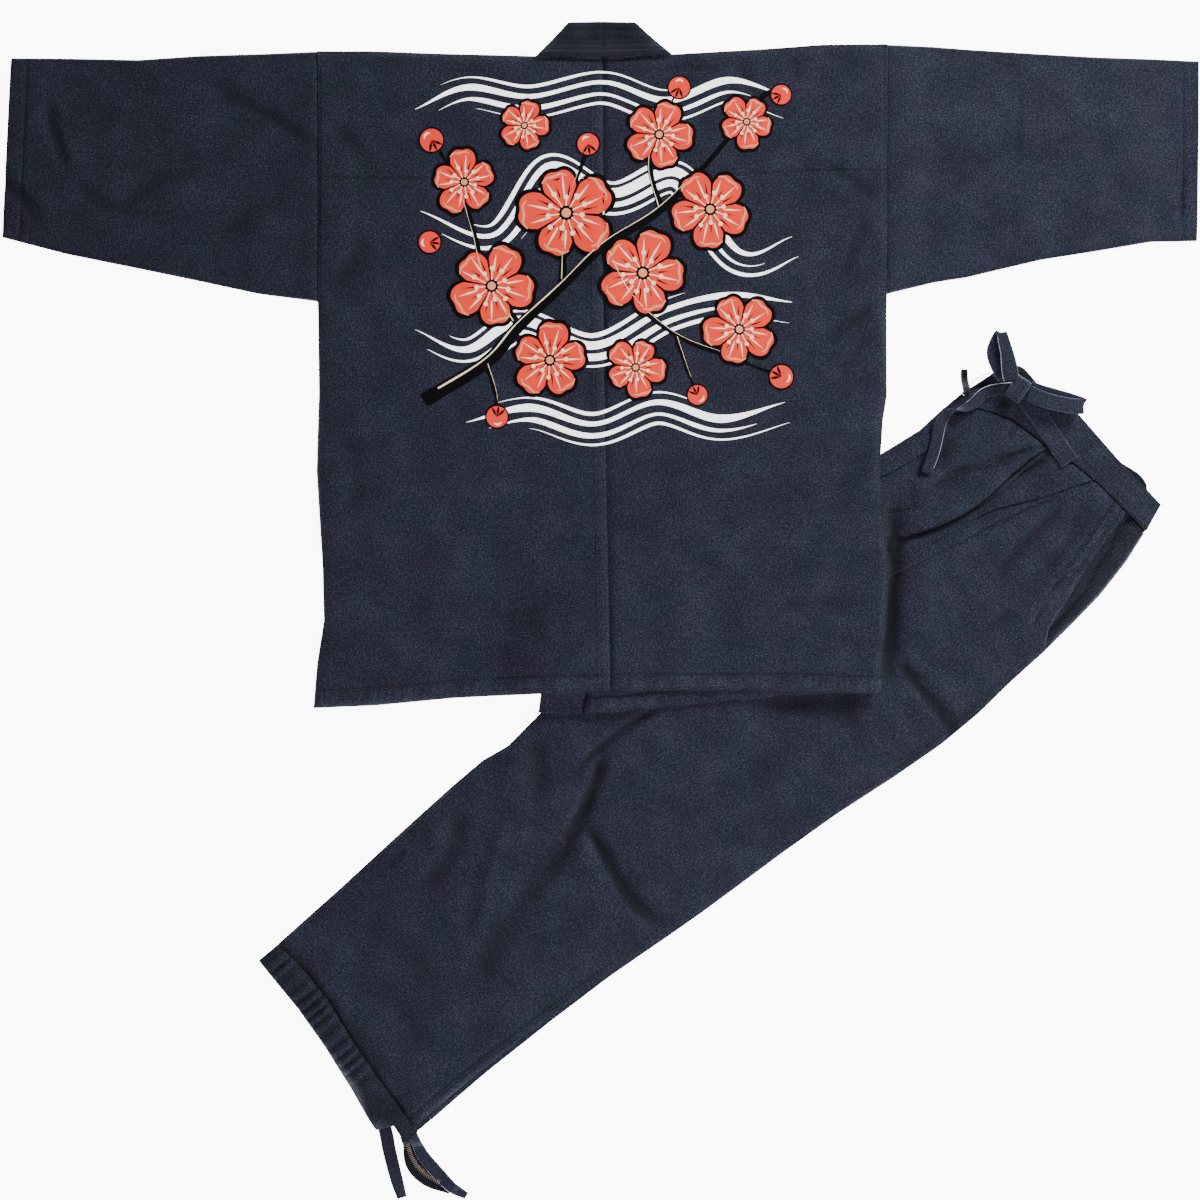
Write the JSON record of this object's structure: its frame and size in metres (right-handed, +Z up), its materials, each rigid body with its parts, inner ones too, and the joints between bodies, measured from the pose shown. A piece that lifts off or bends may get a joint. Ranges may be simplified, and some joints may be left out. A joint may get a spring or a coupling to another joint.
{
  "type": "samue",
  "caption": "Samue work clothes in indigo denim laid flat: crossover jacket with its back up and folded drawstring trousers tied in a bow.",
  "frame": {"origin": "on the surface the set lies on, under the middle of its box", "axes": "+Z up from the surface, +X along the sleeves to the wearer's right, +Y up the jacket's back to the collar"},
  "size_m": [1.3164, 1.296, 0.0245],
  "materials": {
    "jacket_denim": "washed indigo denim",
    "trouser_denim": "washed indigo denim",
    "strap_denim": "folded and pressed denim"
  },
  "bodies": {
    "root": {"back_left": "jacket_denim", "back_right": "jacket_denim", "front_left": "jacket_denim", "front_right": "jacket_denim", "sleeve_left": "jacket_denim", "sleeve_right": "jacket_denim", "collar_back": "jacket_denim", "collar_front_left": "jacket_denim", "collar_front_right": "jacket_denim", "front_tie_left": "jacket_denim", "front_tie_right": "jacket_denim", "trouser_right_front": "trouser_denim", "trouser_right_back": "trouser_denim", "trouser_left_back": "trouser_denim", "trouser_left_front": "trouser_denim", "pocket_facing": "trouser_denim", "fly_placket": "trouser_denim", "waistband_right_front": "trouser_denim", "waistband_right_back": "trouser_denim", "waistband_left_back": "trouser_denim", "waistband_left_front": "trouser_denim", "ankle_casing_right_front": "trouser_denim", "ankle_casing_right_back": "trouser_denim", "ankle_casing_left_back": "trouser_denim", "ankle_casing_left_front": "trouser_denim", "ankle_tie_under": "strap_denim", "ankle_tie_back": "strap_denim", "ankle_tie_front": "strap_denim", "waist_loop": "strap_denim", "waist_tie_knot": "strap_denim", "waist_tie_loop_up": "strap_denim", "waist_tie_loop_side": "strap_denim", "waist_tie_tail_left": "strap_denim", "waist_tie_tail_right": "strap_denim"}
  },
  "joints": []
}
